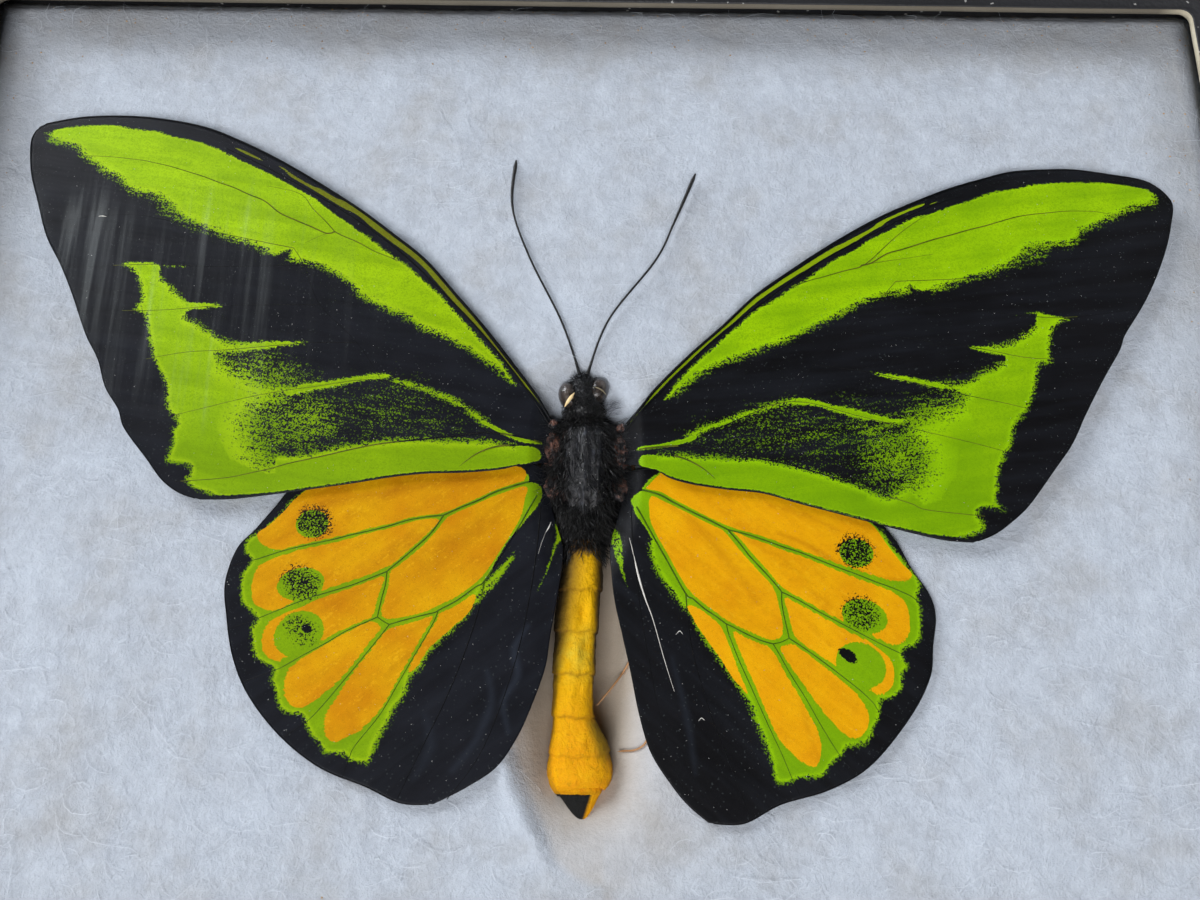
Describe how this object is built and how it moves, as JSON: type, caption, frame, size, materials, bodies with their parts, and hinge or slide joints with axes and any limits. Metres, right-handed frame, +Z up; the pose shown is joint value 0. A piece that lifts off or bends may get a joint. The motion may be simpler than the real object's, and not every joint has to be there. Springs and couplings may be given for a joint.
{
  "type": "framed butterfly specimen",
  "caption": "Spread birdwing butterfly, black, green and gold, on cotton batting under glass in a flat black board display case.",
  "frame": {"origin": "middle of the case's underside, on the surface that it lies on", "axes": "+Z up through the glass, +Y towards the insect's head, +X towards its right wings"},
  "size_m": [0.208, 0.158, 0.0192],
  "materials": {
    "case_board": "matte leatherette paper",
    "glass": "polished",
    "batting": "fluffy wadding",
    "pin_steel": "plated",
    "body_black": "hairy, dry",
    "abdomen_yellow": "dry, satin",
    "leg_brown": "dry, satin",
    "forewing_green": "scaled, velvety",
    "hindwing_gold": "scaled, velvety"
  },
  "bodies": {
    "root": {"lid": "case_board", "tray": "case_board", "glass": "glass", "batting": "batting", "pin_left": "pin_steel", "pin_right": "pin_steel", "pin_top": "pin_steel", "pin_bottom": "pin_steel", "head": "body_black", "thorax": "body_black", "abdomen": "abdomen_yellow", "antenna_left": "body_black", "antenna_right": "body_black", "leg_front_left": "leg_brown", "leg_front_right": "leg_brown", "leg_middle_left": "leg_brown", "leg_middle_right": "leg_brown", "leg_hind_left": "leg_brown", "leg_hind_right": "leg_brown", "forewing_left": "forewing_green", "forewing_right": "forewing_green", "hindwing_left": "hindwing_gold", "hindwing_right": "hindwing_gold"}
  },
  "joints": []
}
